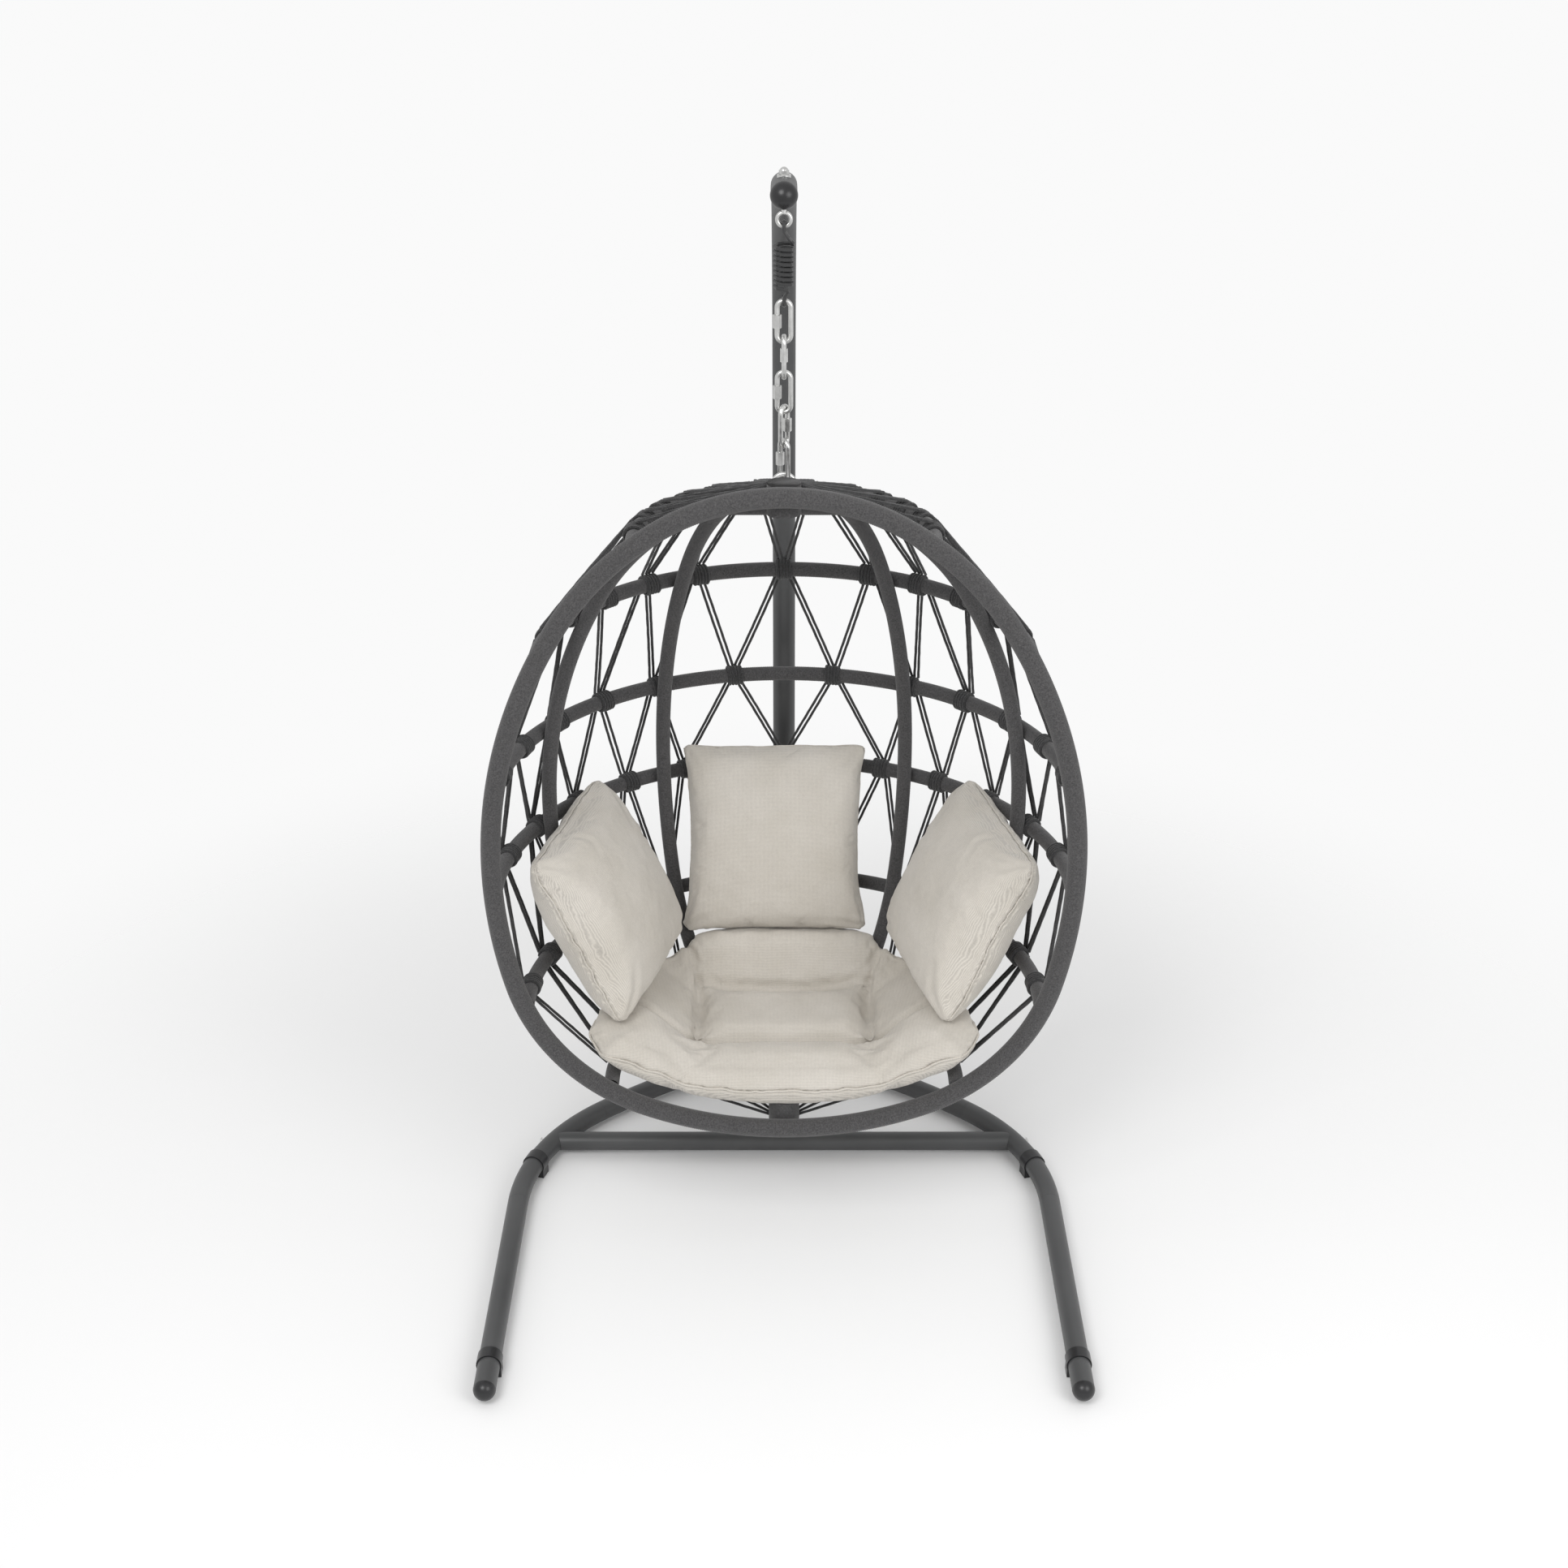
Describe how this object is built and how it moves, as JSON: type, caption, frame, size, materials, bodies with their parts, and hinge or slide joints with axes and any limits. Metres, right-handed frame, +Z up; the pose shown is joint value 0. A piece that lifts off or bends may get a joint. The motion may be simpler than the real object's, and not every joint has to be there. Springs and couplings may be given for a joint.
{
  "type": "hanging egg chair",
  "caption": "Half-egg chair of wound rope on a spring and chain, hung from a swan-neck pole on a C-shaped tube floor frame, with a quilted seat cushion and loose pillows.",
  "frame": {"origin": "centre of the bounding box in plan, on the floor", "axes": "+Z up, the open front of the basket faces -Y, +X to the viewer's right"},
  "size_m": [1.0392, 1.08, 1.8985],
  "materials": {
    "powder_coat": "satin anthracite powder coat",
    "basket_steel": "satin anthracite powder coat",
    "black_plastic": "moulded black plastic",
    "zinc_steel": "bright zinc plate",
    "spring_steel": "dark coated spring wire",
    "wound_rope": "ribbed wound polymer rope",
    "net_cord": "round polymer cord",
    "linen": "woven linen-look cover"
  },
  "bodies": {
    "stand": {"side_tube_left": "powder_coat", "side_tube_right": "powder_coat", "crossbar": "powder_coat", "base_hub": "powder_coat", "pole_lower": "powder_coat", "pole_upper": "powder_coat", "pole_end_cap": "black_plastic", "leg_end_caps": "black_plastic", "foot_clips": "black_plastic", "hub_foot": "black_plastic", "frame_bolts": "zinc_steel", "frame_nuts": "zinc_steel", "eye_bolt": "zinc_steel", "acorn_nut": "zinc_steel", "jam_nut": "zinc_steel", "saddle_washers": "zinc_steel"},
    "spring": {"spring": "spring_steel"},
    "first_link": {"link_1": "zinc_steel", "link_sleeve_1": "zinc_steel"},
    "second_link": {"link_2": "zinc_steel", "link_sleeve_2": "zinc_steel"},
    "basket": {"link_3": "zinc_steel", "link_4": "zinc_steel", "link_5": "zinc_steel", "link_sleeve_3": "zinc_steel", "link_sleeve_4": "zinc_steel", "link_sleeve_5": "zinc_steel", "hang_ring": "zinc_steel", "rim_tube": "basket_steel", "hoop_tubes": "basket_steel", "rib_tubes": "basket_steel", "hanger_bar": "basket_steel", "crown_hub": "wound_rope", "bottom_hub": "wound_rope", "rim_winding": "wound_rope", "hoop_winding_0": "wound_rope", "hoop_winding_1": "wound_rope", "hoop_winding_2": "wound_rope", "hoop_winding_3": "wound_rope", "hoop_winding_4": "wound_rope", "hoop_winding_5": "wound_rope", "rib_winding_inner_left": "wound_rope", "rib_winding_inner_right": "wound_rope", "rib_winding_outer_left": "wound_rope", "rib_winding_outer_right": "wound_rope", "bar_winding": "wound_rope", "crown_cords": "net_cord", "net_band_0": "net_cord", "net_band_1": "net_cord", "net_band_2": "net_cord", "net_band_3": "net_cord", "net_band_4": "net_cord", "floor_cords": "net_cord", "seat_cushion": "linen", "back_pillow": "linen", "pillow_left": "linen", "pillow_right": "linen"}
  },
  "joints": [
    {"name": "swing_fore_aft", "type": "hinge", "parent": "stand", "child": "spring", "pos_m": [0, 0.113, 1.8075], "axis": [1, 0, 0], "range_deg": [-12, 2]},
    {"name": "spring_stretch", "type": "slide", "parent": "spring", "child": "first_link", "axis": [0, 0, -1], "range_m": [0, 0.025], "stiffness_N_per_m": 30000, "springref_m": -0.012, "deforming": ["spring"]},
    {"name": "swing_side", "type": "hinge", "parent": "first_link", "child": "second_link", "pos_m": [0, 0.113, 1.63255], "axis": [0, 1, 0], "range_deg": [-8, 8]},
    {"name": "basket_turn", "type": "hinge", "parent": "second_link", "child": "basket", "pos_m": [0, 0.113, 1.5707], "axis": [0, 0, 1], "range_deg": [-15, 15]}
  ]
}
